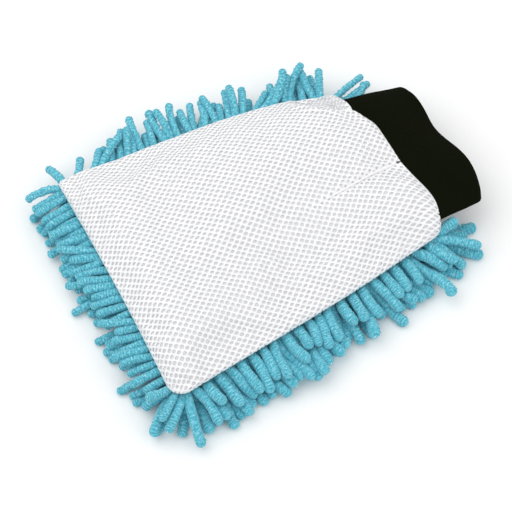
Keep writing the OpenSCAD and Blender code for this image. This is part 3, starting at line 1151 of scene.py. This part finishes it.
def make_cuff():
    """One tube of rib knit, folded back inside itself at the mouth."""
    around = RIB_STEPS * round(even_angles(1)[1] / RIB_PITCH)
    angle = even_angles(around)[0]
    run = 1 - np.linspace(1, 0, 38) ** 1.5
    profile = [(share, 0.0, RIB_H) for share in run]
    for turn in np.radians(np.linspace(90, -90, 9)[1:-1]):
        profile.append((1 + FOLD_R * math.cos(turn) / cuff_length, FOLD_R - FOLD_R * math.sin(turn), RIB_H))
    profile += [(share, 2 * FOLD_R, -RIB_H) for share in run[::-1]]
    profile += [(share, 2 * FOLD_R - KNIT_T, 0.0) for share in run[:-1:3]]
    profile += [(share, KNIT_T, 0.0) for share in run[:-1:3][::-1]]
    step = np.arange(around)
    rib = 0.5 + 0.5 * np.cos(step * 2 * np.pi / RIB_STEPS)
    points, uv = [], []
    for share, depth, height in profile:
        points.append(cuff_shape(np.full(around, share), angle, depth - height * rib))
        uv.append(np.stack([step * RIB_PITCH / RIB_STEPS, np.full(around, share * cuff_length)], axis=-1))
    faces = grid_faces(len(profile), around, closed=True, looped=True)
    cuff = make_piece("rib_cuff", np.array(points), faces, "black_knit", uv=np.array(uv))
    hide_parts("cuff_root", "knit_cuff")
    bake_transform(cuff)
    return cuff


# ---- seams ----

THREAD_R = 0.42
TACK_THREAD_R = 0.15
STITCH_PITCH = 5.2
STITCH_L = 4


def thread_tubes(name, lines, radius, slot, sides=8):
    """Short threads along the given lines, their ends drawn in."""
    lines = np.asarray(lines, float)
    rings = lines.shape[1]
    angle = angles_round(sides)
    taper = np.sqrt(np.clip(1 - np.linspace(-1, 1, rings) ** 6, 0.03, 1)) * radius
    points = tubes(lines, taper[None, :, None], angle)
    uv = np.zeros(points.shape[:-1] + (2,))
    uv[..., 0] = angle
    uv[..., 1] = np.linspace(0, 6, rings)[None, :, None]
    faces = [grid_faces(rings, sides, k * rings * sides, closed=True) for k in range(len(lines))]
    return make_piece(name, points, np.vstack(faces), slot, uv=uv)


def stitch_lines(ends, dip):
    """Each pair of ends as a line that dips into the cloth at both of them."""
    share = np.linspace(0, 1, 9)[None, :, None]
    starts, stops = ends[:, :1], ends[:, 1:]
    lines = starts * (1 - share) + stops * share
    lines[..., 2] -= dip * (2 * share[..., 0] - 1) ** 4
    return lines


def make_side_stitching():
    low, high = box_mm("side_seam_stitching")
    z = (low[2] + high[2]) / 2
    inset = low[0] - finger_x + THREAD_R
    pairs = []
    for side in (NEAR, FAR):
        first, last = finger_x + FINGER_CORNER[side] + 4, wrist_x - WRIST_CORNER[side] - 8
        for x in np.arange(first, last, STITCH_PITCH):
            pairs.append([(end, side * (half_width(end, side) - inset), z) for end in (x, x + STITCH_L)])
    for y in np.arange(-finger_half + 20, finger_half - 12, STITCH_PITCH):
        x = finger_x + inset + 1.0 + end_shift(finger_x, y / finger_half)
        pairs.append([(x, y, z), (x, y + STITCH_L, z)])
    lines = stitch_lines(np.array(pairs), 0.35)
    return thread_tubes("side_stitches", lines, THREAD_R, "white_thread")


def make_wrist_stitching():
    angle = even_angles(48)[0]
    share = (CUFF_START - 2.2 + wrist_reach(np.cos(angle))) / cuff_length
    pairs = np.stack([cuff_shape(share, end, -0.25) for end in (angle, angle + 0.075)], axis=1)
    return thread_tubes("wrist_stitches", stitch_lines(pairs, 0.0), THREAD_R, "black_thread")


def make_tack(back):
    """The bar tack at the fold's seam end: tight wraps of thread over a short core."""
    across_cloth = np.full(2, -8.0 - float(back.grid[0, back.middle, 1]))
    points, normals = back.place(np.array([0.6, 4.4]), across_cloth)
    middle, along = points.mean(0), unit(points[1] - points[0])
    up = unit(normals.mean(0))
    across = np.cross(up, along)
    turn = np.linspace(0, 2 * np.pi * 9, 240)
    reach = np.linspace(-1.9, 1.9, 240)
    coil = middle + up * 0.45 + np.outer(reach, along)
    coil = coil + np.outer(0.35 * np.cos(turn), across) + np.outer(0.3 * np.sin(turn), up)
    return thread_tubes("pleat_bar_tack", [coil], TACK_THREAD_R, "black_thread")


# ---- the mitt ----

make_camera()
make_studio()

materials = {
    "white_mesh": net_material(),
    # The backing is greyer than the net's white strands: painted shade for the net's holes, where it shows
    # through.
    "white_backing": knit_material("white_backing", (0.73, 0.73, 0.76), (0.81, 0.81, 0.835), 0.9, 0.1),
    "white_lining": knit_material("white_lining", (0.80, 0.80, 0.82), (0.88, 0.88, 0.90), 0.7, 0.1),
    "turquoise_cloth": knit_material("turquoise_cloth", (0.05, 0.27, 0.33), (0.12, 0.38, 0.45), 1.2, 0.2),
    "turquoise_chenille": chenille_material(),
    "white_thread": thread_material("white_thread", (0.90, 0.90, 0.92)),
    "black_thread": thread_material("black_thread", (0.006, 0.006, 0.005)),
    "black_knit": rib_material(),
}

surface = respaced_grid(back_points(), 110, 96)
surface = settle_cloth(surface)
surface = respaced_grid(surface, 190, 168)
for fold in (WRIST_FOLD, CORNER_FOLD):
    surface = fold.press(surface)
back = Back(respaced_grid(surface, 190, 168))

net = make_net(back)
backing = make_shell("mesh_back_layer", back.grid, back.normals, *BACKING_DEPTHS, "white_backing")
lining_top = make_shell("pocket_lining_top", back.grid, back.normals, *LINING_DEPTHS, "white_lining")
lining_palm = make_palm_sheet("pocket_lining_palm", LINING_INSET, palm_low[2], palm_high[2],
                              LINING_CUFF_GAP, "white_lining")
base_cloth = make_palm_sheet("palm_base_cloth", BASE_INSET, base_low[2], base_high[2], 0, "turquoise_cloth")
rows = make_rows()
cuff = make_cuff()
side_stitches = make_side_stitching()
wrist_stitches = make_wrist_stitching()
tack = make_tack(back)
for piece, node in (
        (net, "mesh_face"), (backing, "mesh_backing"), (lining_top, "lining_top"),
        (lining_palm, "lining_palm"), (base_cloth, "chenille_base"), *zip(rows, row_nodes),
        (side_stitches, "side_seam_stitching"), (wrist_stitches, "wrist_seam_stitching"),
        (tack, "pleat_tack")):
    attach(piece, "mitt")
    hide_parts(node)
